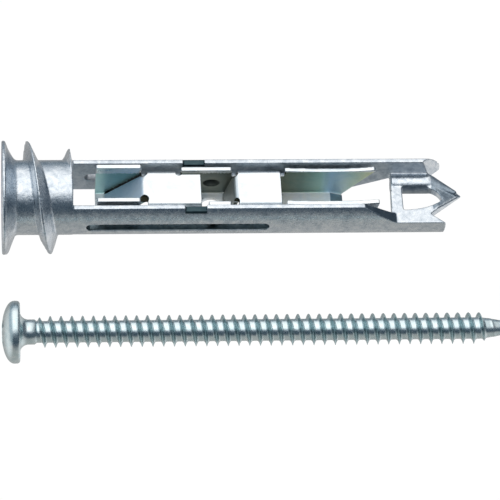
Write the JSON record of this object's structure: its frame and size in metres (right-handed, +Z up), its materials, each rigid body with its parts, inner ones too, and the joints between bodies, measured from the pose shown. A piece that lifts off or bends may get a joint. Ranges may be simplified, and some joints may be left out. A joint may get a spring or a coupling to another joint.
{
  "type": "wall anchor",
  "caption": "Self-drilling toggle anchor for hollow walls: a cast body with a coarse thread and a drill point, a steel bar that turns in its channel, and its pan-head screw beside it.",
  "frame": {"origin": "middle of the kit's footprint, on the surface that the anchor's flange and the screw's head lie on", "axes": "+X along both pieces from the heads to the drill point and the screw's end, +Y from the screw to the anchor, +Z up out of the anchor's open channel"},
  "size_m": [0.0656, 0.0308, 0.0151],
  "materials": {
    "cast_zinc": "as-cast zinc, dull satin with a fine grain, brighter on its rims and edges",
    "plated_sheet": "bright zinc plating on cold-rolled sheet, with a faint green and blue film",
    "plated_screw": "bright bluish zinc plating, glossy"
  },
  "bodies": {
    "anchor": {"anchor_body": "cast_zinc"},
    "toggle": {"toggle_bar": "plated_sheet"},
    "screw": {"screw": "plated_screw"}
  },
  "joints": [
    {"name": "toggle_pivot", "type": "hinge", "parent": "anchor", "child": "toggle", "pos_m": [-0.00453, 0.00783, 0.00737], "axis": [0, -1, 0], "range_deg": [0, 90]},
    {"name": "screw_lift", "type": "slide", "parent": "anchor", "child": "screw", "axis": [0, 0, 1], "range_m": [0, 0.03]}
  ]
}
